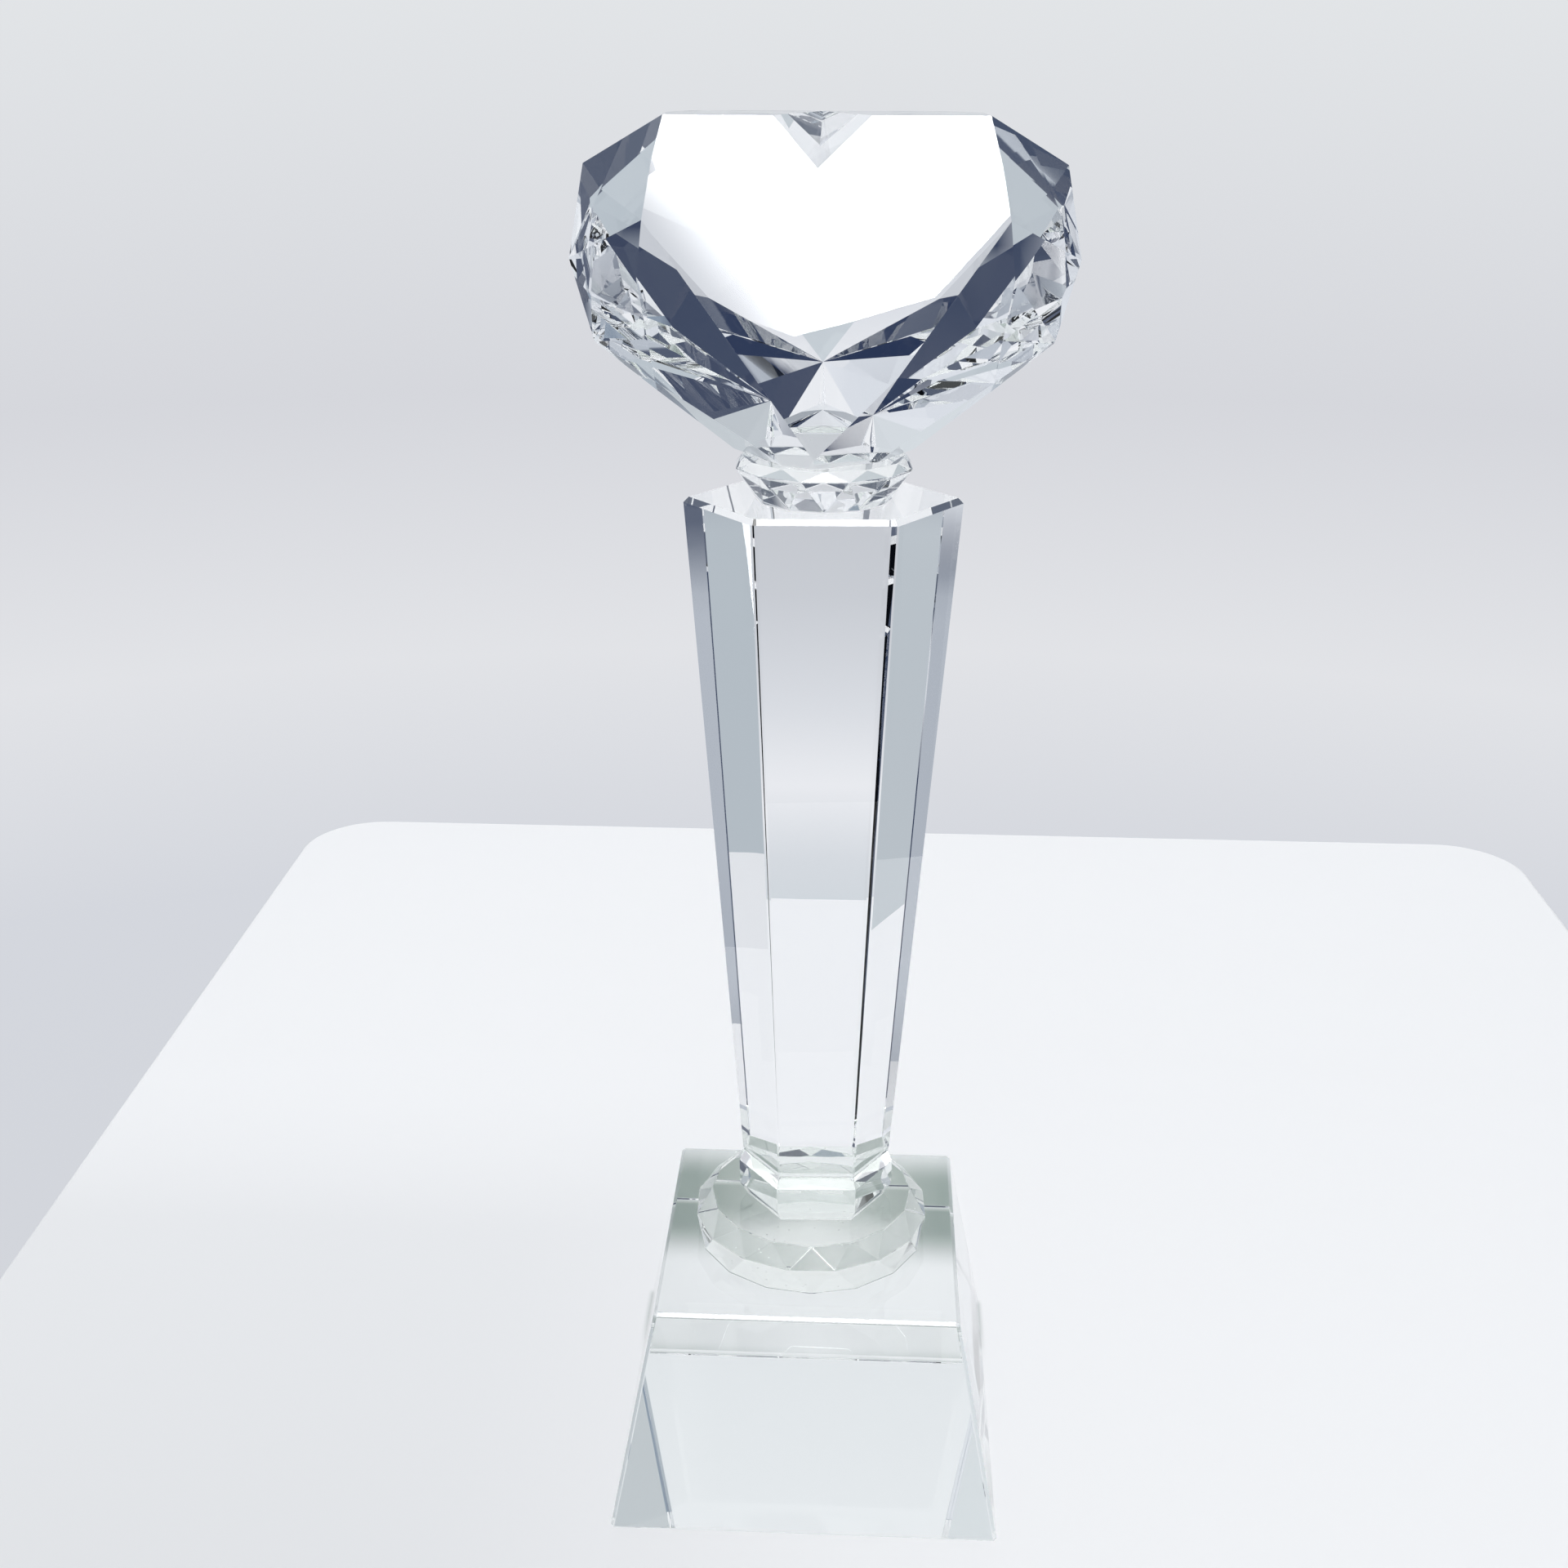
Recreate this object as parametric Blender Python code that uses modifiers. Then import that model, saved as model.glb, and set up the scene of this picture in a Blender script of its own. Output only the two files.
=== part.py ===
"""Crystal award: six cut and polished crystal pieces, bonded one on top of another.

From the table up: a square tapered base, a round faceted disc, a six-sided plinth, a tall six-sided
column that widens upwards, a small faceted collar, and a heart-cut gem that leans back with its
table facing forward. A thin film of clear adhesive joins each piece to the next.

Metres, +Z up. The origin is the centre of the base's underside, and the front faces -Y.
"""

import math

import bmesh
import bpy
from mathutils import Matrix, Vector

# The base, a square frustum
BASE_BOTTOM_SIDE = 0.0800
BASE_TOP_SIDE = 0.0618
BASE_HEIGHT = 0.0475
BASE_BEVEL = 0.0007

# Everything above the base was bonded on slightly turned and slightly off centre,
# and the disc was bonded on a little further off.
STACK_TURN = math.radians(2.3)
STACK_SHIFT = 0.0008
ON_AXIS = Vector((0.0, 0.0, 0.0))

# Each bond is a film with a hair of clearance on both sides.
FILM_THICKNESS = 0.0002
CLEARANCE = 0.0003
BOND = FILM_THICKNESS + 2 * CLEARANCE
FILM_INSET = 0.0006
FILM_SIDES = 48

# The disc and the collar are rondelles: rings of corners, each turned half a step from the last.
# A ring is (radius, share of the height, half steps of turn).
DISC_SIDES = 16
DISC_HEIGHT = 0.0086
DISC_RINGS = ((0.0243, 0.0, 0), (0.0249, 0.58, 1), (0.0213, 1.0, 0))
DISC_SHIFT = Vector((-0.0009, 0.0016, 0.0))
COLLAR_SIDES = 12
COLLAR_HEIGHT = 0.0072
COLLAR_RINGS = ((0.0127, 0.0, 0), (0.0167, 0.76, 1), (0.0152, 1.0, 0))

# The plinth and the column have six sides, and are shallower front to back than a regular hexagon.
HEX_SIDES = 6
HEX_DEPTH = 0.80
PLINTH_HEIGHT = 0.0100
PLINTH_RINGS = ((0.0147, 0.0, 0), (0.0162, 0.17, 0), (0.0163, 0.72, 0), (0.0154, 1.0, 0))
COLUMN_HEIGHT = 0.1400
COLUMN_BOTTOM_RADIUS = 0.0156
COLUMN_TOP_RADIUS = 0.0262
COLUMN_RIM_BEVEL = 0.0010
COLUMN_EDGE_SHARE = 0.25

# The gem has its own frame: x to its right, y up along its table, z out of its table.
# The middle of its crown's lower rim is near z = 0, and the point of its table is at y = 0.
GEM_TABLE_TILT = math.radians(25.0)
GEM_CROWN = 0.0100
GEM_GIRDLE = 0.0065
GEM_TIP_FORWARD = 0.0135
GEM_TIP_ABOVE_SEAT = 0.0008
GEM_TOP_HEIGHT = 0.2748
GEM_CULET = Vector((0.0, 0.0270, -0.0400))
GEM_UNDERCULET = 1.07
GEM_BREAK_ABOVE = 0.0300
GEM_BREAK_RUN = 0.0070
GEM_BREAK_DEPTH = 0.0100
BLANK_SIZE = 0.300

# Corners of the table on the right side; the left side mirrors all but the tip.
TIP = Vector((-0.0020, 0.0, GEM_CROWN))
JAW = Vector((0.0129, 0.0150, GEM_CROWN))
CHEEK = Vector((0.0330, 0.0433, GEM_CROWN))
TEMPLE = Vector((0.0314, 0.0540, GEM_CROWN))
BROW = Vector((0.0294, 0.0626, GEM_CROWN))

# Places between the table and the girdle where crown facets meet
SHOULDER = Vector((0.0369, 0.0601, 0.0052))
EAR = Vector((0.0410, 0.0514, 0.0034))
JOWL_PLACE = (0.0342, 0.0342)

# Corners of the girdle on the right side, from the lobe round to the point, at the crown's lower rim
LOBE = Vector((0.0220, 0.0728, 0.0))
CORNER = Vector((0.0448, 0.0579, -0.0008))
FLANK = Vector((0.0473, 0.0405, -0.0021))
HIP = Vector((0.0428, 0.0262, -0.0049))
KNEE = Vector((0.0310, 0.0170, -0.0006))
ANKLE = Vector((0.0144, 0.0052, 0.0))
POINT = Vector((0.0, -0.0045, 0.0))
GIRDLE = (LOBE, CORNER, FLANK, HIP, KNEE, ANKLE, POINT)

# The notch between the lobes: a V-groove whose floor climbs backwards from the table
NOTCH_FLOOR = Vector((-0.0016, 0.0528, GEM_CROWN))
NOTCH_RUN = Vector((0.0012, 0.0184, -0.0180))
NOTCH_SLOPES = (-0.82, 1.00)
NOTCH_TALL = 0.050
NOTCH_REACH = (-0.6, 2.5)

CRYSTAL_IOR = 1.52
FLAT = math.radians(0.05)
TOUCHING = 0.000001

CRYSTAL = {
    "base_block": (0.87, 0.91, 0.91),
    "faceted_disc": (0.80, 0.86, 0.83),
    "plinth": (0.81, 0.87, 0.86),
    "column": (0.86, 0.88, 0.93),
    "collar": (0.90, 0.92, 0.94),
    "heart_gem": (0.74, 0.80, 0.90),
}
CRYSTAL_ROUGHNESS = 0.02
ADHESIVE = (0.93, 0.94, 0.90)
ADHESIVE_ROUGHNESS = 0.20


def clear_scene():
    for obj in list(bpy.data.objects):
        bpy.data.objects.remove(obj, do_unlink=True)


def new_collection(name):
    collection = bpy.data.collections.new(name)
    bpy.context.scene.collection.children.link(collection)
    return collection


def clear_material(name, colour, roughness):
    """A see-through material for one piece."""
    material = bpy.data.materials.new(name)
    material.use_nodes = True
    shader = material.node_tree.nodes["Principled BSDF"]
    shader.inputs["Base Color"].default_value = (*colour, 1.0)
    shader.inputs["Roughness"].default_value = roughness
    shader.inputs["Metallic"].default_value = 0.0
    shader.inputs["Transmission Weight"].default_value = 1.0
    shader.inputs["IOR"].default_value = CRYSTAL_IOR
    material.diffuse_color = (*colour, 1.0)
    return material


def add_object(name, body, collection):
    mesh = bpy.data.meshes.new(name)
    bmesh.ops.recalc_face_normals(body, faces=body.faces)
    body.to_mesh(mesh)
    body.free()
    obj = bpy.data.objects.new(name, mesh)
    collection.objects.link(obj)
    return obj


def add_crystal(name, body, collection):
    obj = add_object(name, body, collection)
    obj.data.materials.append(clear_material(name, CRYSTAL[name], CRYSTAL_ROUGHNESS))
    return obj


def ring_points(sides, radius, height, half_steps=0, depth=1.0):
    """Points round the Z axis, with one of them on +X when half_steps is even."""
    step = 2 * math.pi / sides
    angles = [step * (i + half_steps / 2) for i in range(sides)]
    return [Vector((radius * math.cos(a), depth * radius * math.sin(a), height)) for a in angles]


def hull(points):
    """The closed convex body round the points, with one face for each flat side."""
    body = bmesh.new()
    corners = [body.verts.new(p) for p in points]
    bmesh.ops.convex_hull(body, input=corners)
    bmesh.ops.dissolve_limit(body, angle_limit=FLAT, verts=body.verts, edges=body.edges)
    return body


def ringed_body(sides, height, rings, depth=1.0):
    points = []
    for radius, share, half_steps in rings:
        points += ring_points(sides, radius, share * height, half_steps, depth)
    return hull(points)


def frustum(sides, bottom_radius, top_radius, height, turn=0.0, depth=1.0):
    """A tapered prism that stands on Z = 0, with corners on the X axis before it is turned."""
    body = bmesh.new()
    bmesh.ops.create_cone(
        body, cap_ends=True, segments=sides, radius1=bottom_radius, radius2=top_radius, depth=height
    )
    corner_on_x = Matrix.Rotation(math.pi / 2 + turn, 4, "Z")
    stretch = Matrix.Diagonal((1.0, depth, 1.0, 1.0))
    lift = Matrix.Translation((0.0, 0.0, height / 2))
    bmesh.ops.transform(body, matrix=lift @ stretch @ corner_on_x, verts=body.verts)
    return body


def bevel_edges(obj, width):
    bevel = obj.modifiers.new("polished_edges", "BEVEL")
    bevel.width = width
    bevel.segments = 1
    bevel.limit_method = "WEIGHT"
    bevel.loop_slide = False


def weigh_edges(body, weight_of):
    """Sets how much of the bevel's width each edge gets."""
    layer = body.edges.layers.float.new("bevel_weight_edge")
    for edge in body.edges:
        edge[layer] = weight_of(edge)


def build_base(collection):
    half_diagonal = math.sqrt(0.5)
    bottom = BASE_BOTTOM_SIDE * half_diagonal
    top = BASE_TOP_SIDE * half_diagonal
    body = frustum(4, bottom, top, BASE_HEIGHT, turn=math.pi / 4)
    weigh_edges(body, lambda edge: 1.0)
    base = add_crystal("base_block", body, collection)
    bevel_edges(base, BASE_BEVEL)
    return base


def build_column(collection):
    body = frustum(HEX_SIDES, COLUMN_BOTTOM_RADIUS, COLUMN_TOP_RADIUS, COLUMN_HEIGHT, depth=HEX_DEPTH)

    def weight(edge):
        at_top = all(v.co.z > COLUMN_HEIGHT - TOUCHING for v in edge.verts)
        return 1.0 if at_top else COLUMN_EDGE_SHARE

    weigh_edges(body, weight)
    column = add_crystal("column", body, collection)
    bevel_edges(column, COLUMN_RIM_BEVEL)
    return column


def grind(stone, point, normal):
    """Cuts off what lies in front of a plane, and closes the cut with one flat facet."""
    everything = stone.verts[:] + stone.edges[:] + stone.faces[:]
    cut = bmesh.ops.bisect_plane(
        stone, geom=everything, dist=TOUCHING, plane_co=point, plane_no=normal, clear_outer=True
    )
    rim = [part for part in cut["geom_cut"] if isinstance(part, bmesh.types.BMEdge)]
    open_rim = [edge for edge in rim if edge.is_boundary]
    if open_rim:
        bmesh.ops.contextual_create(stone, geom=open_rim)


def outward_normal(a, b, c, inside):
    normal = (b - a).cross(c - a).normalized()
    return normal if normal.dot(a - inside) > 0 else -normal


def mirrored(point):
    return Vector((-point.x, point.y, point.z))


def drop_onto(place, a, b, c):
    """The point above (x, y) that lies in the plane through a, b and c."""
    normal = (b - a).cross(c - a)
    x, y = place
    z = a.z - (normal.x * (x - a.x) + normal.y * (y - a.y)) / normal.z
    return Vector((x, y, z))


def crown_facets():
    """Three corners of each crown facet on the right side."""
    jowl = drop_onto(JOWL_PLACE, JAW, CHEEK, KNEE)
    return (
        (BROW, SHOULDER, CORNER),
        (TEMPLE, BROW, SHOULDER),
        (TEMPLE, SHOULDER, EAR),
        (SHOULDER, EAR, CORNER),
        (CHEEK, TEMPLE, EAR),
        (EAR, CORNER, FLANK),
        (CHEEK, EAR, FLANK),
        (CHEEK, jowl, HIP),
        (jowl, KNEE, HIP),
        (CHEEK, JAW, KNEE),
        (JAW, TIP, KNEE),
    )


def at_depth(corner, z):
    return Vector((corner.x, corner.y, z))


def girdle_outline(z):
    """The corners of the girdle at one depth, going once round the stone."""
    right = [at_depth(corner, z) for corner in GIRDLE]
    left = [mirrored(corner) for corner in right[-2::-1]]
    return right + left


def following(items):
    """The same items, each one place earlier, with the first moved to the end."""
    return items[1:] + items[:1]


def girdle_walls():
    """Three corners of each wall of the girdle."""
    front = girdle_outline(0.0)
    back = girdle_outline(-GEM_GIRDLE)
    return zip(front, following(front), back)


def under_break(corner):
    """The place on the break line behind a corner of the girdle. The low corners have no break."""
    if corner.y < GEM_BREAK_ABOVE:
        return corner
    inward = at_depth(GEM_CULET - corner, 0.0).normalized()
    return at_depth(corner + inward * GEM_BREAK_RUN, corner.z - GEM_BREAK_DEPTH)


def pavilion_facets():
    """Three corners of each facet behind the girdle.

    Round the lobes a steep facet runs from each wall to the break line. From there, or from the wall
    itself lower down, one facet on each side and a main one at each corner run to the culet.
    """
    outline = girdle_outline(-GEM_GIRDLE)
    under = [under_break(corner) for corner in outline]
    deep = at_depth(GEM_CULET, GEM_CULET.z * GEM_UNDERCULET)
    for start, end, low_start, low_end in zip(outline, following(outline), under, following(under)):
        if low_start != start:
            yield start, end, low_start
        elif low_end != end:
            yield start, end, low_end
        yield low_start, low_end, deep
    for before, corner, after in zip(under, following(under), following(following(under))):
        yield corner, corner + after - before, GEM_CULET


def build_gem(seat, collection, cutters):
    """The gem is ground from a block in its own frame, then leaned back onto its seat."""
    stone = bmesh.new()
    bmesh.ops.create_cube(stone, size=BLANK_SIZE)
    inside = (TIP + GEM_CULET) / 2
    grind(stone, TIP, Vector((0.0, 0.0, 1.0)))
    for corners in crown_facets():
        other_side = [corner if corner == TIP else mirrored(corner) for corner in corners]
        for a, b, c in (corners, other_side):
            grind(stone, a, outward_normal(a, b, c, inside))
    for a, b, c in [*girdle_walls(), *pavilion_facets()]:
        grind(stone, a, outward_normal(a, b, c, inside))

    place = gem_place(seat)
    to_gem = place.inverted()
    up = to_gem.to_3x3() @ Vector((0.0, 0.0, 1.0))
    grind(stone, to_gem @ Vector((0.0, 0.0, GEM_TOP_HEIGHT)), up)
    grind(stone, to_gem @ Vector((0.0, 0.0, seat)), -up)
    gem = add_crystal("heart_gem", stone, collection)

    groove = add_object("gem_notch_cutter", notch_wedge(), cutters)
    groove.hide_render = True
    groove.display_type = "WIRE"
    cut = gem.modifiers.new("notch", "BOOLEAN")
    cut.operation = "DIFFERENCE"
    cut.solver = "EXACT"
    cut.object = groove
    for obj in (gem, groove):
        obj.matrix_local = place
    return gem, groove


def gem_place(seat):
    """Where the gem's frame stands: leaned back, with the point of its table near the collar's rim."""
    lean = Matrix.Rotation(math.pi / 2 - GEM_TABLE_TILT, 4, "X")
    tip = Vector((0.0, -GEM_TIP_FORWARD, seat + GEM_TIP_ABOVE_SEAT))
    return Matrix.Translation(tip - lean @ Vector((0.0, TIP.y, TIP.z))) @ lean


def notch_wedge():
    """A wedge along the notch's floor, from in front of the table to behind the gem."""
    points = []
    for reach in NOTCH_REACH:
        floor = NOTCH_FLOOR + reach * NOTCH_RUN
        points.append(floor)
        points += [floor + NOTCH_TALL * Vector((slope, 1.0, 0.0)) for slope in NOTCH_SLOPES]
    return hull(points)


def build_film(name, body, collection):
    film = add_object(name, body, collection)
    film.data.materials.append(clear_material(name, ADHESIVE, ADHESIVE_ROUGHNESS))
    return film


def rondelle_film(ring, sides):
    """A round film that stays inside the flat at one end of a rondelle."""
    radius = ring[0] * math.cos(math.pi / sides) - FILM_INSET
    return frustum(FILM_SIDES, radius, radius, FILM_THICKNESS)


def hex_film(ring):
    """A six-sided film that stays inside the flat at one end of the plinth."""
    radius = ring[0] - FILM_INSET
    return frustum(HEX_SIDES, radius, radius, FILM_THICKNESS, depth=HEX_DEPTH)


def build_disc(collection):
    return add_crystal("faceted_disc", ringed_body(DISC_SIDES, DISC_HEIGHT, DISC_RINGS), collection)


def build_plinth(collection):
    body = ringed_body(HEX_SIDES, PLINTH_HEIGHT, PLINTH_RINGS, HEX_DEPTH)
    return add_crystal("plinth", body, collection)


def build_collar(collection):
    return add_crystal("collar", ringed_body(COLLAR_SIDES, COLLAR_HEIGHT, COLLAR_RINGS), collection)


def stand_on(obj, height, shift, stack):
    obj.location = shift + Vector((0.0, 0.0, height))
    obj.parent = stack


def build_award():
    clear_scene()
    parts = new_collection("crystal_award")
    cutters = new_collection("cutters")
    build_base(parts)

    stack = bpy.data.objects.new("bonded_stack", None)
    parts.objects.link(stack)
    stack.location.x = STACK_SHIFT
    stack.rotation_euler.z = STACK_TURN

    level = BASE_HEIGHT
    under_disc = rondelle_film(DISC_RINGS[0], DISC_SIDES)
    under_collar = rondelle_film(COLLAR_RINGS[0], COLLAR_SIDES)
    for film_name, film_body, build_piece, height, shift in (
        ("base_bond_film", under_disc, build_disc, DISC_HEIGHT, DISC_SHIFT),
        ("disc_bond_film", hex_film(PLINTH_RINGS[0]), build_plinth, PLINTH_HEIGHT, ON_AXIS),
        ("plinth_bond_film", hex_film(PLINTH_RINGS[-1]), build_column, COLUMN_HEIGHT, ON_AXIS),
        ("column_bond_film", under_collar, build_collar, COLLAR_HEIGHT, ON_AXIS),
    ):
        film = build_film(film_name, film_body, parts)
        stand_on(film, level + CLEARANCE, shift, stack)
        level += BOND
        stand_on(build_piece(parts), level, shift, stack)
        level += height

    film = build_film("gem_bond_film", rondelle_film(COLLAR_RINGS[-1], COLLAR_SIDES), parts)
    stand_on(film, level + CLEARANCE, ON_AXIS, stack)
    for obj in build_gem(level + BOND, parts, cutters):
        obj.parent = stack


build_award()
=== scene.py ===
"""Looks of the crystal award: polished optical crystal in six bonded pieces, on a pale table top.

Each crystal is built from its CAD solid: finely bevelled edges, a lower face that reaches down to the
piece below, and a bonded patch where adhesive joins it to its neighbour. Light passes straight
through a bonded patch, as it does through a clear optical bond. A thin film of adhesive fills
each joint.
"""

import math

import bmesh
import bpy
from mathutils import Matrix, Vector


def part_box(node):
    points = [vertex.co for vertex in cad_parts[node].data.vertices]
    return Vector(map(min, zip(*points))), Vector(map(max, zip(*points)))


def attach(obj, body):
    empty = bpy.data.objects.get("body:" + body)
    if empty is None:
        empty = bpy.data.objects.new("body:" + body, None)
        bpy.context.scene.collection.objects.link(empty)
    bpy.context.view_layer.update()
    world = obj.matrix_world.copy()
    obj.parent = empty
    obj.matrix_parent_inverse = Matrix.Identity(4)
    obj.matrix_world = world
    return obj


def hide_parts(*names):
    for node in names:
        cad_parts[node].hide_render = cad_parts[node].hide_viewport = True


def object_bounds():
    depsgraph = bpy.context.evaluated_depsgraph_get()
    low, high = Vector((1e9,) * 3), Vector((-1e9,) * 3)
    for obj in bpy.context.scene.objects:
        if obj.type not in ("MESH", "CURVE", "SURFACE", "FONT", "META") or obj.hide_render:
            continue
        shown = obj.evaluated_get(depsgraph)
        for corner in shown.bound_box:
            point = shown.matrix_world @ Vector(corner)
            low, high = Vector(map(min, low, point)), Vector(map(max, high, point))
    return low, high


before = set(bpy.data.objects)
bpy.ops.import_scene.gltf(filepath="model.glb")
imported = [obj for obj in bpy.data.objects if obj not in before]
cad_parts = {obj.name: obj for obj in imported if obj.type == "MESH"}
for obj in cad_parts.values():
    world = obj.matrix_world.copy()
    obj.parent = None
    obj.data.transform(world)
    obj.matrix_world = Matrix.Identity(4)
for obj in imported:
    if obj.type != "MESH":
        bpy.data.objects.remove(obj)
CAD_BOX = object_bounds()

# The stack from the table up. Each entry is (piece, the film beneath it).
STACK = (
    ("base_block", None),
    ("faceted_disc", "base_bond_film"),
    ("plinth", "disc_bond_film"),
    ("column", "plinth_bond_film"),
    ("collar", "column_bond_film"),
    ("heart_gem", "gem_bond_film"),
)

# The joint between two crystals, and the gap on each side of the film in it
JOINT_LINE = 0.00012
FILM_GAP = 0.00002
FILM_SHARE = 0.985

# How far apart two heights or angles may be and still count as the same
LEVEL = 0.00002
FLAT = math.radians(0.5)

# The share of a lamp's light that one crystal surface lets pass
LAMP_PASS = 0.985
CRYSTAL_IOR = 1.52

# The polish: slow waves left by the wheel, and a few smears that are a little less clear.
# A scale is a number of features per metre.
WAVE_SCALE = 46.0
WAVE_STRENGTH = 0.02
WAVE_DEPTH = 0.0005
SMEAR_SCALE = 160.0
SMEAR_RANGE = (0.58, 0.78)
SMEAR_ROUGHNESS = 0.035

# The adhesive, and the specks trapped in it: their spacing, and how far each one reaches
ADHESIVE_CLEAR = (0.985, 0.99, 0.985, 1.0)
ADHESIVE_GLOSS = (0.86, 0.88, 0.86, 1.0)
ADHESIVE_ROUGHNESS = 0.2
ADHESIVE_IOR = 1.5
SPECK_SCALE = 420.0
SPECK_REACH = (0.05, 0.11)
SPECK_SHARE = (0.35, 0.02)

# piece: (tint, width of its polished edges)
LOOKS = {
    "base_block": ((0.955, 0.975, 0.970), 0.00012),
    "faceted_disc": ((0.915, 0.935, 0.912), 0.00015),
    "plinth": ((0.880, 0.915, 0.900), 0.00015),
    "column": ((0.985, 0.990, 0.998), 0.0),
    "collar": ((0.990, 0.992, 0.998), 0.00012),
    "heart_gem": ((0.975, 0.985, 1.000), 0.00012),
}
EDGE_SEGMENTS = 2
EDGE_ANGLE = math.radians(3.0)

HEIGHT = CAD_BOX[1][2] - CAD_BOX[0][2]

CAMERA_PLACE = Vector((0.0342, -1.2541, 1.0494)) * HEIGHT
CAMERA_PITCH = math.radians(-21.69)
CAMERA_HEADING = math.radians(2.61)
CAMERA_ROLL = math.radians(0.23)
CAMERA_LENS = 43.34

# The table top. Its under side is TABLE_THICKNESS below its upper one.
TABLE_BACK = 1.21 * HEIGHT
TABLE_SIDES = (-0.74 * HEIGHT, 0.93 * HEIGHT)
TABLE_FRONT = -1.1 * HEIGHT
TABLE_CORNER = 0.10 * HEIGHT
TABLE_CORNER_STEPS = 12
TABLE_THICKNESS = 0.02
TABLE_RIM = 0.0015
TABLE_RIM_ANGLE = math.radians(30.0)
TABLE_GAP = 0.0001
TABLE_RIM_SEGMENTS = 3
TABLE_WHITE = (0.86, 0.86, 0.86)
TABLE_ROUGHNESS = (0.42, 0.56)
GRAIN_SCALE = 900.0
GRAIN_STRENGTH = 0.05
GRAIN_DEPTH = 0.0002

# The green shade painted into the table's colour under the rear of the base: its colour, its depth from
# front to back, how softly it begins, and where it sets in to either side of the middle
PAINTED_TABLE_SHADE = (0.20, 0.26, 0.23)
SHADE_DEPTH = 0.024
SHADE_BLUR = 0.008
SHADE_RIM = SHADE_BLUR / 6
SHADE_MIDDLE = (-0.020, 0.032)

# The softbox's outline, across and up, seen from the award at SOFTBOX_REACH. It fades out sideways,
# between the two values of SOFTBOX_FADE.
SOFTBOX_REACH = 2.0
SOFTBOX_OUTLINE = (
    (-0.30, 0.115),
    (-0.30, 0.06),
    (-0.211, -0.020),
    (-0.125, -0.111),
    (-0.022, -0.139),
    (0.045, -0.155),
    (0.26, -0.08),
    (0.26, 0.115),
)
SOFTBOX_SLANT = -0.85
SOFTBOX_FADE = (0.09, 0.25)
SOFTBOX_POWER = 22.0

# Two cards of black paper: a level one over the near left of the table, and an upright one in front
# of the disc. Sides are limits from left to right, ends are the other two.
SHADE_CARD_HEIGHT = 0.30
SHADE_CARD_SIDES = (-0.40, 0.00)
SHADE_CARD_ENDS = (-0.50, -0.17)
GLARE_CARD_PLACE = -0.30
GLARE_CARD_SIDES = (-0.12, 0.12)
GLARE_CARD_ENDS = (0.19, 0.35)
PAPER_BLACK = (0.03, 0.03, 0.035, 1.0)
PAPER_ROUGHNESS = (0.8, 1.0)
PAPER_SCALE = 400.0

# Panels of light that show only as white glints on the bevels: one overhead, and three low down
# round the near side of the table. Each is given by its four corners.
GLINT_PANELS = (
    ((-0.30, -0.74, 1.20), (0.30, -0.74, 1.20), (0.30, -0.22, 1.20), (-0.30, -0.22, 1.20)),
    ((-0.35, -1.20, -0.15), (0.35, -1.20, -0.15), (0.35, -1.20, -0.06), (-0.35, -1.20, -0.06)),
    ((-1.20, -0.10, -0.30), (-1.20, 0.40, -0.30), (-1.20, 0.40, -0.17), (-1.20, -0.10, -0.17)),
    ((1.20, -0.10, -0.30), (1.20, 0.40, -0.30), (1.20, 0.40, -0.17), (1.20, -0.10, -0.17)),
)
GLINT_POWER = 8.0
GLINT_UNEVENNESS = 0.1
GLINT_SCALE = 8.0

CEILING_PLACE = (0.0, 0.45, 2.2)
CEILING_SIZE = 2.4
CEILING_POWER = 23.0

NAVY = (0.022, 0.036, 0.085)
SLATE = (0.085, 0.12, 0.19)
STEEL = (0.24, 0.30, 0.38)
GLEAM = (0.62, 0.66, 0.72)
DAYLIGHT = (0.74, 0.77, 0.82)

# The room around the award: (elevation in degrees, colour)
ROOM_BANDS = (
    (-90.0, SLATE),
    (-20.0, (0.06, 0.075, 0.12)),
    (-14.0, (0.45, 0.49, 0.55)),
    (-3.0, (0.49, 0.53, 0.59)),
    (-1.0, (0.075, 0.095, 0.15)),
    (43.0, NAVY),
    (47.0, (0.78, 0.80, 0.84)),
    (90.0, (1.05, 1.05, 1.05)),
)

# The wall behind the award, as the camera sees it: (elevation in degrees, colour)
WALL_BANDS = (
    (-60.0, (0.62, 0.64, 0.67)),
    (-24.0, (0.66, 0.68, 0.73)),
    (-17.5, (0.76, 0.77, 0.80)),
    (-10.0, (0.67, 0.68, 0.72)),
    (2.0, (0.77, 0.79, 0.81)),
    (40.0, (0.84, 0.86, 0.88)),
)

# The same wall as the crystal gathers it, with the lamp's pool of light on it
GLASS_WALL_BANDS = (
    (-60.0, (0.58, 0.63, 0.67)),
    (-22.5, (0.62, 0.67, 0.71)),
    (-20.3, (0.69, 0.72, 0.76)),
    (-18.2, (0.88, 0.89, 0.92)),
    (-16.0, (0.74, 0.76, 0.80)),
    (-12.5, (0.61, 0.63, 0.67)),
    (-8.0, (0.60, 0.62, 0.66)),
    (14.0, (0.74, 0.76, 0.79)),
    (30.0, (0.78, 0.81, 0.84)),
    (45.0, (0.86, 0.88, 0.91)),
)
WALL_SPREAD = (-22.5, 22.5)
WALL_HEIGHT = (-95.0, 80.0)

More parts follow.
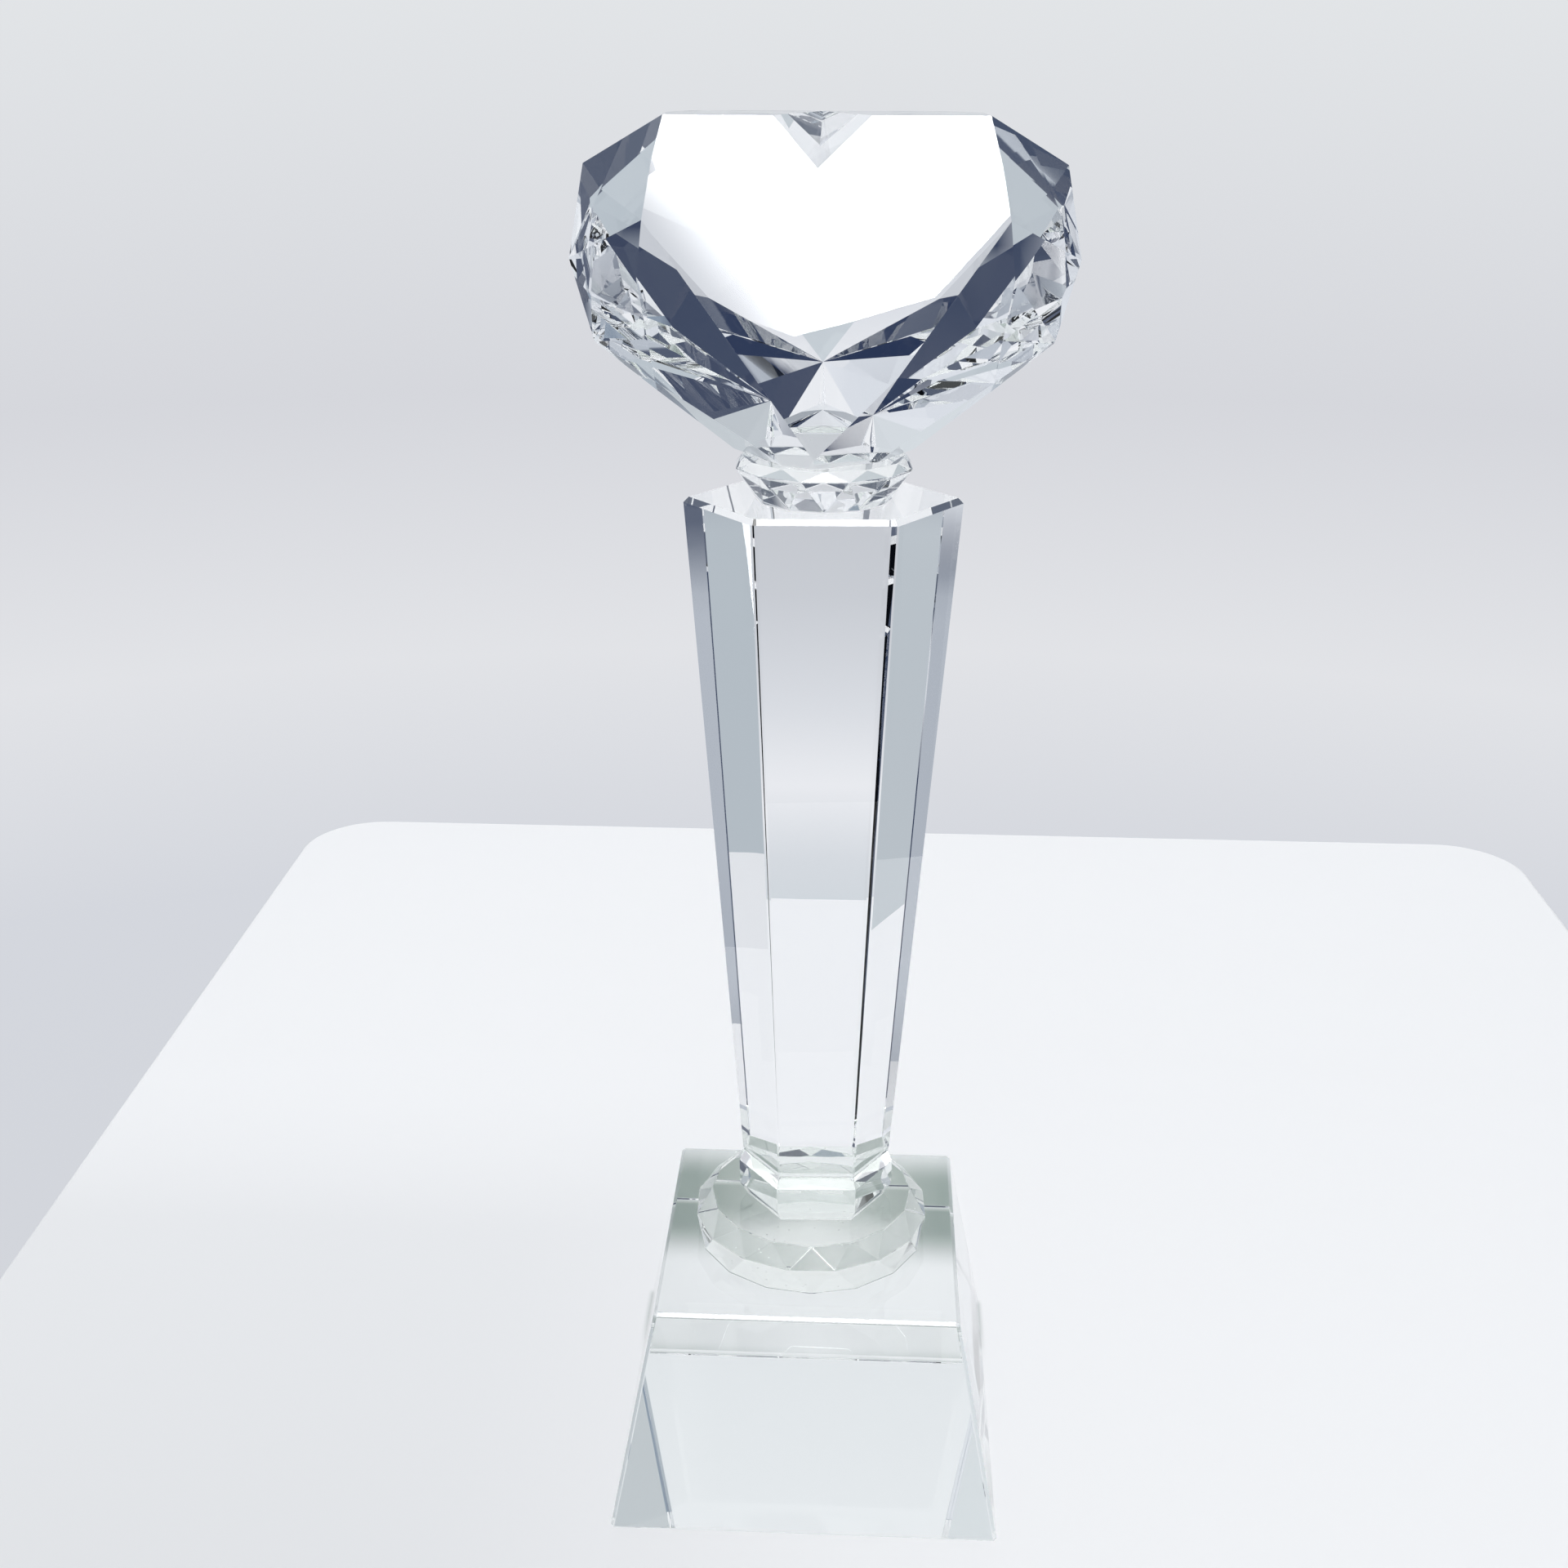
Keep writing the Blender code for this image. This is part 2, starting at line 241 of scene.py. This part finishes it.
# Windows, lights and dark corners of the room: (azimuths, elevations, colour), all in degrees.
# A later patch covers an earlier one.
ROOM_PATCHES = (
    ((22.5, 58.0), (-8.5, 10.0), NAVY),
    ((-58.0, -22.5), (-8.5, 10.0), NAVY),
    ((29.0, 34.0), (0.6, 4.5), GLEAM),
    ((-34.0, -32.2), (-9.0, -3.5), GLEAM),
    ((22.5, 52.0), (-80.0, -8.5), (0.50, 0.555, 0.60)),
    ((-52.0, -22.5), (-80.0, -8.5), (0.54, 0.59, 0.63)),
    ((22.5, 66.0), (14.0, 58.0), (0.56, 0.60, 0.63)),
    ((-66.0, -22.5), (14.0, 58.0), (0.70, 0.74, 0.77)),
    ((58.0, 84.0), (-10.0, 14.0), (0.70, 0.73, 0.78)),
    ((98.0, 118.0), (-4.0, 25.0), STEEL),
    ((132.0, 137.0), (10.0, 20.0), (0.75, 0.77, 0.80)),
    ((100.0, 109.0), (43.0, 52.0), (1.20, 1.20, 1.20)),
    ((109.0, 146.0), (44.0, 62.0), NAVY),
    ((-175.0, -56.0), (-1.0, 43.0), DAYLIGHT),
    ((-176.0, -128.0), (14.0, 30.0), (0.95, 0.97, 1.00)),
    ((-100.0, -88.0), (4.0, 21.0), NAVY),
    ((-124.0, -115.0), (11.0, 18.0), STEEL),
    ((-155.0, -147.0), (31.0, 37.0), SLATE),
    ((-82.0, -72.0), (27.0, 37.0), NAVY),
    ((-131.0, -115.0), (34.0, 45.0), NAVY),
    ((-150.0, -136.0), (52.0, 64.0), STEEL),
)
PATCH_EDGE = 1.2

MAX_BOUNCES = 24
GLOSSY_BOUNCES = 12
TRANSPARENT_BOUNCES = 64


# ---------------------------------------------------------------- nodes


def node(tree, kind, inputs=None, **settings):
    """Adds a shader node, and sets its properties and inputs. An input may be another node's output."""
    made = tree.nodes.new(kind)
    for name, value in settings.items():
        setattr(made, name, value)
    for name, value in (inputs or {}).items():
        connect(tree, value, made.inputs[name])
    return made


def connect(tree, value, socket):
    """Links a socket to another node's output, or gives it a plain value."""
    if isinstance(value, bpy.types.NodeSocket):
        tree.links.new(value, socket)
    else:
        socket.default_value = value


def sums(tree, operation, *values):
    """The output of a math node."""
    made = node(tree, "ShaderNodeMath", dict(enumerate(values)), operation=operation)
    return made.outputs["Value"]


def ramp_between(tree, value, start, end):
    """0 up to start, 1 from end on, and smooth between."""
    span = {"Value": value, "From Min": start, "From Max": end}
    step = node(tree, "ShaderNodeMapRange", span, interpolation_type="SMOOTHSTEP")
    return step.outputs["Result"]


def spread(tree, value, results, limits=(0.0, 1.0)):
    """Runs between two results while the value runs between two limits."""
    (start, end), (low, high) = limits, results
    span = {"Value": value, "From Min": start, "From Max": end, "To Min": low, "To Max": high}
    return node(tree, "ShaderNodeMapRange", span).outputs["Result"]


def mix_shaders(tree, share, first, second):
    mixed = node(tree, "ShaderNodeMixShader", {0: share, 1: first, 2: second})
    return mixed.outputs["Shader"]


def mix_colours(tree, share, first, second):
    mixed = node(tree, "ShaderNodeMix", data_type="RGBA")
    factor, start, end = mixed.inputs[0], mixed.inputs[6], mixed.inputs[7]
    connect(tree, share, factor)
    for colour, socket in ((first, start), (second, end)):
        connect(tree, (*colour, 1.0) if isinstance(colour, tuple) else colour, socket)
    return mixed.outputs[2]


def object_place(tree):
    return node(tree, "ShaderNodeTexCoord").outputs["Object"]


def noise(tree, place, scale, detail=2.0):
    made = node(tree, "ShaderNodeTexNoise", {"Vector": place, "Scale": scale, "Detail": detail})
    return made.outputs["Fac"]


def new_material(name):
    material = bpy.data.materials.new(name)
    material.use_nodes = True
    material.node_tree.nodes.clear()
    return material, material.node_tree


def finish_material(tree, surface):
    node(tree, "ShaderNodeOutputMaterial", {"Surface": surface})


# ---------------------------------------------------------------- the award's materials


def let_lamps_through(tree, glass):
    """Glass for every ray except the ones that lamps send, which it lets pass with a small loss."""
    path = node(tree, "ShaderNodeLightPath")
    clear = node(tree, "ShaderNodeBsdfTransparent", {"Color": (LAMP_PASS, LAMP_PASS, LAMP_PASS, 1.0)})
    return mix_shaders(tree, path.outputs["Is Shadow Ray"], glass, clear.outputs["BSDF"])


def crystal_material(name, tint):
    """Polished crystal: clear with a faint tint, a hint of hand polish and a few smears."""
    material, tree = new_material(name)
    place = object_place(tree)
    waves = noise(tree, place, WAVE_SCALE, 1.0)
    smears = noise(tree, place, SMEAR_SCALE, 4.0)
    bump = node(
        tree, "ShaderNodeBump", {"Height": waves, "Strength": WAVE_STRENGTH, "Distance": WAVE_DEPTH}
    )
    glass = node(
        tree,
        "ShaderNodeBsdfPrincipled",
        {
            "Base Color": (*tint, 1.0),
            "Roughness": spread(tree, smears, (0.0, SMEAR_ROUGHNESS), SMEAR_RANGE),
            "IOR": CRYSTAL_IOR,
            "Transmission Weight": 1.0,
            "Normal": bump.outputs["Normal"],
        },
    )
    finish_material(tree, let_lamps_through(tree, glass.outputs["BSDF"]))
    return material


def bonded_material():
    """The patch of a crystal that is bonded to its neighbour: light goes straight through."""
    material, tree = new_material("bonded_patch")
    clear = node(tree, "ShaderNodeBsdfTransparent", {"Color": (1.0, 1.0, 1.0, 1.0)})
    finish_material(tree, clear.outputs["BSDF"])
    return material


def adhesive_material():
    """Cured clear adhesive: nearly invisible, with a few trapped specks."""
    material, tree = new_material("cured_adhesive")
    specks = node(tree, "ShaderNodeTexVoronoi", {"Vector": object_place(tree), "Scale": SPECK_SCALE})
    speck = spread(tree, specks.outputs["Distance"], SPECK_SHARE, SPECK_REACH)
    clear = node(tree, "ShaderNodeBsdfTransparent", {"Color": ADHESIVE_CLEAR})
    gloss = node(
        tree,
        "ShaderNodeBsdfPrincipled",
        {"Base Color": ADHESIVE_GLOSS, "Roughness": ADHESIVE_ROUGHNESS, "IOR": ADHESIVE_IOR},
    )
    finish_material(tree, mix_shaders(tree, speck, clear.outputs["BSDF"], gloss.outputs["BSDF"]))
    return material


# ---------------------------------------------------------------- crystals


def clean_copy(name):
    """The CAD solid's shape as a bmesh, with whole flat faces."""
    body = bmesh.new()
    body.from_mesh(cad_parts[name].data)
    bmesh.ops.remove_doubles(body, verts=body.verts, dist=LEVEL / 2)
    bmesh.ops.dissolve_limit(body, angle_limit=FLAT, verts=body.verts, edges=body.edges)
    return body


def level_face(body, height):
    """The horizontal face at a height."""
    for face in body.faces:
        if all(abs(corner.co.z - height) < LEVEL for corner in face.verts):
            return face
    raise ValueError(f"no level face at {height}")


def lower_foot(body, height, drop):
    """Moves the bottom face down, to close the gap to the piece below."""
    foot = level_face(body, height)
    for corner in foot.verts:
        corner.co.z -= drop
    return foot


def inset_patch(body, face, outline):
    """Cuts a patch with the given outline out of a flat face, and returns the patch."""
    height = face.verts[0].co.z
    rim = list(face.edges)
    bmesh.ops.delete(body, geom=[face], context="FACES_ONLY")
    patch = body.faces.new([body.verts.new((x, y, height)) for x, y in outline])
    edges = rim + list(patch.edges)
    bmesh.ops.triangle_fill(body, edges=edges, use_beauty=True, normal=(0.0, 0.0, 1.0))
    return patch


def outline_of(name, top=False):
    """The outline of a node's bottom or top face, as corners in order."""
    body = clean_copy(name)
    heights = [corner.co.z for corner in body.verts]
    face = level_face(body, max(heights) if top else min(heights))
    outline = [Vector(corner.co.xy) for corner in face.verts]
    body.free()
    return outline


def side_of(start, end, place):
    """Above zero to the left of the line from start to end, below zero to its right."""
    return (end - start).cross(place - start)


def clipped(outline, limit):
    """The part of one convex outline that lies inside another."""
    limit = list(limit)
    if side_of(*limit[:3]) < 0:
        limit.reverse()
    for start, end in zip(limit, limit[1:] + limit[:1]):
        kept = []
        for here, there in zip(outline, outline[1:] + outline[:1]):
            left, next_left = side_of(start, end, here), side_of(start, end, there)
            if left >= 0:
                kept.append(here)
            if left * next_left < 0:
                kept.append(here.lerp(there, left / (left - next_left)))
        outline = kept
    return outline


def shrunk(outline):
    """An outline drawn in a little towards its middle."""
    centre = sum(outline, Vector((0.0, 0.0))) / len(outline)
    return [centre + (corner - centre) * FILM_SHARE for corner in outline]


def contact(position):
    """Where a piece rests on the one below it: the outline, and whether that is its whole foot."""
    (name, _), (below, _) = STACK[position], STACK[position - 1]
    foot = outline_of(name)
    shared = clipped(foot, outline_of(below, top=True))
    if shared == foot:
        return foot, True
    return shrunk(shared), False


def top_of_piece_below(position):
    below, _ = STACK[position - 1]
    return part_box(below)[1].z


def thicken(body, sheet, rise):
    """Makes a flat sheet into a slab, upwards or downwards."""
    grown = bmesh.ops.extrude_face_region(body, geom=[sheet])
    moved = [corner for corner in grown["geom"] if isinstance(corner, bmesh.types.BMVert)]
    bmesh.ops.translate(body, verts=moved, vec=(0.0, 0.0, rise))
    bmesh.ops.recalc_face_normals(body, faces=body.faces)


def add_object(name, body, materials):
    mesh = bpy.data.meshes.new(name)
    body.to_mesh(mesh)
    body.free()
    for material in materials:
        mesh.materials.append(material)
    made = bpy.data.objects.new(name, mesh)
    bpy.context.scene.collection.objects.link(made)
    return made


def add_piece(name, body, materials):
    """A piece of the award. It gathers no diffuse light, because light passes through it."""
    bmesh.ops.recalc_face_normals(body, faces=body.faces)
    piece = add_object(name, body, materials)
    piece.visible_diffuse = False
    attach(piece, "root")
    return piece


def add_bevel(obj, name, width, segments, angle):
    bevel = obj.modifiers.new(name, "BEVEL")
    bevel.width = width
    bevel.segments = segments
    bevel.limit_method = "ANGLE"
    bevel.angle_limit = angle


def build_crystal(position, materials, edge_width):
    """The polished piece at a place in the stack, with bonded patches where its neighbours join it."""
    name, _ = STACK[position]
    low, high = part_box(name)
    body = clean_copy(name)
    bonded = []
    if position > 0:
        foot = lower_foot(body, low.z, low.z - top_of_piece_below(position) - JOINT_LINE)
        outline, whole_foot = contact(position)
        bonded.append(foot if whole_foot else inset_patch(body, foot, outline))
    if position + 1 < len(STACK):
        outline, _ = contact(position + 1)
        bonded.append(inset_patch(body, level_face(body, high.z), outline))
    for face in bonded:
        face.material_index = 1
    piece = add_piece(name + "_polished", body, materials)
    if edge_width:
        add_bevel(piece, "polished_edges", edge_width, EDGE_SEGMENTS, EDGE_ANGLE)
    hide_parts(name)


def build_film(position, material):
    """The adhesive in one joint, a little inside the outline of the contact."""
    _, film = STACK[position]
    low = top_of_piece_below(position) + FILM_GAP
    outline, _ = contact(position)
    body = bmesh.new()
    sheet = body.faces.new([body.verts.new((*corner, low)) for corner in shrunk(outline)])
    thicken(body, sheet, JOINT_LINE - 2 * FILM_GAP)
    piece = add_piece(film + "_cured", body, [material])
    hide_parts(film)


def build_award():
    adhesive = adhesive_material()
    bonded = bonded_material()
    for position, (name, film) in enumerate(STACK):
        tint, edge_width = LOOKS[name]
        crystal = crystal_material(name + "_crystal", tint)
        build_crystal(position, [crystal, bonded], edge_width)
        if film:
            build_film(position, adhesive)


# ---------------------------------------------------------------- setting


def add_stage(name, body, material):
    obj = add_object(name, body, [material])
    return obj


def painted_base_shade(tree, place):
    """Where shade is painted on the table under the rear of the base: 1 in the deepest painted shade, 0
    outside it.
    """
    low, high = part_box("base_block")
    parts = node(tree, "ShaderNodeSeparateXYZ", {"Vector": place})
    across, along = parts.outputs["X"], parts.outputs["Y"]
    start = high.y - SHADE_DEPTH
    shade = sums(
        tree,
        "MULTIPLY",
        ramp_between(tree, along, start, start + 2 * SHADE_BLUR),
        ramp_between(tree, along, high.y + SHADE_RIM, high.y - SHADE_RIM),
    )
    limits = (
        ramp_between(tree, across, low.x - SHADE_RIM, low.x + SHADE_RIM),
        ramp_between(tree, across, high.x + SHADE_RIM, high.x - SHADE_RIM),
        ramp_between(tree, sums(tree, "ABSOLUTE", across), *SHADE_MIDDLE),
    )
    for limit in limits:
        shade = sums(tree, "MULTIPLY", shade, limit)
    return shade


def table_material():
    """Satin white laminate. Light reaches the rear of the base's footprint only through deep crystal,
    so a green shade is painted into the laminate's colour there."""
    material, tree = new_material("table_white_painted_shade")
    place = object_place(tree)
    grain = noise(tree, place, GRAIN_SCALE, 3.0)
    bump = node(
        tree, "ShaderNodeBump", {"Height": grain, "Strength": GRAIN_STRENGTH, "Distance": GRAIN_DEPTH}
    )
    surface = node(
        tree,
        "ShaderNodeBsdfPrincipled",
        {
            # painted shade: the laminate's colour turns green under the rear of the base
            "Base Color": mix_colours(tree, painted_base_shade(tree, place), TABLE_WHITE, PAINTED_TABLE_SHADE),
            "Roughness": spread(tree, grain, TABLE_ROUGHNESS),
            "Normal": bump.outputs["Normal"],
        },
    )
    finish_material(tree, surface.outputs["BSDF"])
    return material


def corner_arc(centre, start, radius):
    """A quarter turn of points round a corner, anticlockwise."""
    steps = TABLE_CORNER_STEPS
    angles = [start + math.pi / 2 * i / steps for i in range(steps + 1)]
    return [(centre[0] + radius * math.cos(a), centre[1] + radius * math.sin(a)) for a in angles]


def build_table():
    left, right = TABLE_SIDES
    radius = TABLE_CORNER
    outline = [(left, TABLE_FRONT), (right, TABLE_FRONT)]
    outline += corner_arc((right - radius, TABLE_BACK - radius), 0.0, radius)
    outline += corner_arc((left + radius, TABLE_BACK - radius), math.pi / 2, radius)
    body = bmesh.new()
    top = body.faces.new([body.verts.new((x, y, -TABLE_GAP)) for x, y in outline])
    thicken(body, top, -TABLE_THICKNESS)
    table = add_stage("table_top", body, table_material())
    add_bevel(table, "rounded_rim", TABLE_RIM, TABLE_RIM_SEGMENTS, TABLE_RIM_ANGLE)


def gem_table_plane():
    """The centre and the outward normal of the gem's table, its largest facet."""
    body = clean_copy("heart_gem")
    table = max(body.faces, key=lambda face: face.calc_area())
    centre, normal = table.calc_center_median().copy(), table.normal.copy()
    body.free()
    return centre, normal


def softbox_material():
    """Even white light that fades out towards one side."""
    material, tree = new_material("softbox")
    parts = node(tree, "ShaderNodeSeparateXYZ", {"Vector": object_place(tree)})
    slant = sums(tree, "MULTIPLY_ADD", parts.outputs["Z"], SOFTBOX_SLANT, parts.outputs["X"])
    fade = node(
        tree,
        "ShaderNodeMapRange",
        {
            "Value": slant,
            "From Min": SOFTBOX_FADE[0],
            "From Max": SOFTBOX_FADE[1],
            "To Min": SOFTBOX_POWER,
            "To Max": 0.0,
        },
        interpolation_type="SMOOTHSTEP",
    )
    glow = node(
        tree, "ShaderNodeEmission", {"Color": (1.0, 1.0, 1.0, 1.0), "Strength": fade.outputs["Result"]}
    )
    finish_material(tree, glow.outputs["Emission"])
    return material


def build_softbox():
    """Hangs where the camera sees it mirrored in the gem's table."""
    centre, normal = gem_table_plane()
    view = (centre - CAMERA_PLACE).normalized()
    bounce = (view - 2 * view.dot(normal) * normal).normalized()
    across = bounce.cross(Vector((0.0, 0.0, 1.0))).normalized()
    up = across.cross(bounce)
    body = bmesh.new()
    body.faces.new([body.verts.new((x, 0.0, y)) for x, y in SOFTBOX_OUTLINE])
    box = add_stage("softbox", body, softbox_material())
    turn = Matrix((across, bounce, up)).transposed().to_4x4()
    box.matrix_world = Matrix.Translation(centre + bounce * SOFTBOX_REACH) @ turn
    box.visible_camera = False
    box.visible_transmission = False


def card_material():
    """Matt black paper."""
    material, tree = new_material("black_card")
    fibres = noise(tree, object_place(tree), PAPER_SCALE)
    paper = node(
        tree,
        "ShaderNodeBsdfPrincipled",
        {"Base Color": PAPER_BLACK, "Roughness": spread(tree, fibres, PAPER_ROUGHNESS)},
    )
    finish_material(tree, paper.outputs["BSDF"])
    return material


def rectangle(sides, ends):
    """Four corners, from two limits across and two along."""
    (left, right), (near, far) = sides, ends
    return ((left, near), (right, near), (right, far), (left, far))


def build_card(name, corners, material):
    """A dark card out of the camera's sight. The crystals don't show it through themselves either."""
    body = bmesh.new()
    body.faces.new([body.verts.new(corner) for corner in corners])
    card = add_stage(name, body, material)
    card.visible_camera = False
    card.visible_transmission = False
    return card


def build_cards():
    """One card shades the near left of the table; the other keeps the softbox's glare off the disc."""
    paper = card_material()
    corners = rectangle(SHADE_CARD_SIDES, SHADE_CARD_ENDS)
    shade = build_card("shade_card", [(x, y, SHADE_CARD_HEIGHT) for x, y in corners], paper)
    shade.visible_glossy = False
    corners = rectangle(GLARE_CARD_SIDES, GLARE_CARD_ENDS)
    glare = build_card("glare_card", [(x, GLARE_CARD_PLACE, z) for x, z in corners], paper)
    glare.visible_shadow = False
    glare.visible_diffuse = False


def build_glint_panels():
    material, tree = new_material("glint_light")
    cloth = noise(tree, object_place(tree), GLINT_SCALE)
    powers = (GLINT_POWER * (1 - GLINT_UNEVENNESS), GLINT_POWER * (1 + GLINT_UNEVENNESS))
    power = spread(tree, cloth, powers)
    glow = node(tree, "ShaderNodeEmission", {"Strength": power})
    finish_material(tree, glow.outputs["Emission"])
    body = bmesh.new()
    for corners in GLINT_PANELS:
        body.faces.new([body.verts.new(corner) for corner in corners])
    panels = add_stage("glint_panels", body, material)
    panels.visible_camera = False
    panels.visible_transmission = False
    panels.visible_diffuse = False
    panels.visible_shadow = False


# ---------------------------------------------------------------- world, lamp and camera


class Angles:
    """Azimuth and elevation of a ray, in degrees. Azimuth 0 is straight ahead (+Y), 90 is to the
    right (+X)."""

    def __init__(self, tree):
        direction = node(tree, "ShaderNodeTexCoord").outputs["Generated"]
        parts = node(tree, "ShaderNodeSeparateXYZ", {"Vector": direction})
        turn = sums(tree, "ARCTAN2", parts.outputs["X"], parts.outputs["Y"])
        lift = sums(tree, "ARCSINE", parts.outputs["Z"])
        self.tree = tree
        self.azimuth = sums(tree, "DEGREES", turn)
        self.elevation = sums(tree, "DEGREES", lift)

    def rises(self, angle, level):
        """0 below an angle, 1 above it, with a soft edge."""
        return spread(self.tree, angle, (0.0, 1.0), (level - PATCH_EDGE, level + PATCH_EDGE))

    def within(self, angle, low, high):
        return sums(self.tree, "SUBTRACT", self.rises(angle, low), self.rises(angle, high))

    def patch(self, azimuths, elevations):
        """1 inside a patch of the surroundings, 0 outside it."""
        across = self.within(self.azimuth, *azimuths)
        up = self.within(self.elevation, *elevations)
        return sums(self.tree, "MULTIPLY", across, up)

    def bands(self, steps):
        """A colour that runs through the given steps as the elevation rises."""
        share = spread(self.tree, self.elevation, (0.0, 1.0), (-90.0, 90.0))
        ramp = node(self.tree, "ShaderNodeValToRGB", {"Fac": share})
        stops = ramp.color_ramp.elements
        while len(stops) < len(steps):
            stops.new(0.5)
        for stop, (elevation, colour) in zip(stops, steps):
            stop.position = (elevation + 90.0) / 180.0
            stop.color = (*colour, 1.0)
        return ramp.outputs["Color"]


def build_world():
    """The wall behind the award, and for reflections the rest of the room: dark, with windows and
    lights."""
    world = bpy.data.worlds.new("studio")
    bpy.context.scene.world = world
    world.use_nodes = True
    tree = world.node_tree
    tree.nodes.clear()
    angles = Angles(tree)
    room = angles.bands(ROOM_BANDS)
    for azimuths, elevations, colour in ROOM_PATCHES:
        room = mix_colours(tree, angles.patch(azimuths, elevations), room, colour)
    wall = angles.patch(WALL_SPREAD, WALL_HEIGHT)
    room = mix_colours(tree, wall, room, angles.bands(GLASS_WALL_BANDS))
    path = node(tree, "ShaderNodeLightPath")
    seen = mix_colours(tree, path.outputs["Is Camera Ray"], room, angles.bands(WALL_BANDS))
    sky = node(tree, "ShaderNodeBackground", {"Color": seen, "Strength": 1.0})
    node(tree, "ShaderNodeOutputWorld", {"Surface": sky.outputs["Background"]})


def build_ceiling_light():
    lamp = bpy.data.lights.new("ceiling_light", "AREA")
    lamp.shape = "SQUARE"
    lamp.size = CEILING_SIZE
    lamp.energy = CEILING_POWER
    light = bpy.data.objects.new("ceiling_light", lamp)
    light.location = CEILING_PLACE
    light.visible_transmission = False
    light.visible_glossy = False
    bpy.context.scene.collection.objects.link(light)


def build_camera():
    data = bpy.data.cameras.new("camera")
    data.lens = CAMERA_LENS
    camera = bpy.data.objects.new("camera", data)
    aim = Matrix.Rotation(CAMERA_HEADING, 4, "Z") @ Matrix.Rotation(math.pi / 2 + CAMERA_PITCH, 4, "X")
    camera.matrix_world = Matrix.Translation(CAMERA_PLACE) @ aim @ Matrix.Rotation(CAMERA_ROLL, 4, "Z")
    bpy.context.scene.collection.objects.link(camera)
    bpy.context.scene.camera = camera


def set_light_paths():
    """Glass needs many bounces before it goes dark."""
    cycles = bpy.context.scene.cycles
    cycles.max_bounces = MAX_BOUNCES
    cycles.transmission_bounces = MAX_BOUNCES
    cycles.glossy_bounces = GLOSSY_BOUNCES
    cycles.transparent_max_bounces = TRANSPARENT_BOUNCES
    cycles.caustics_reflective = False
    cycles.caustics_refractive = False
    bpy.context.scene.view_settings.view_transform = "Standard"


build_award()
build_table()
build_softbox()
build_cards()
build_glint_panels()
build_world()
build_ceiling_light()
build_camera()
set_light_paths()
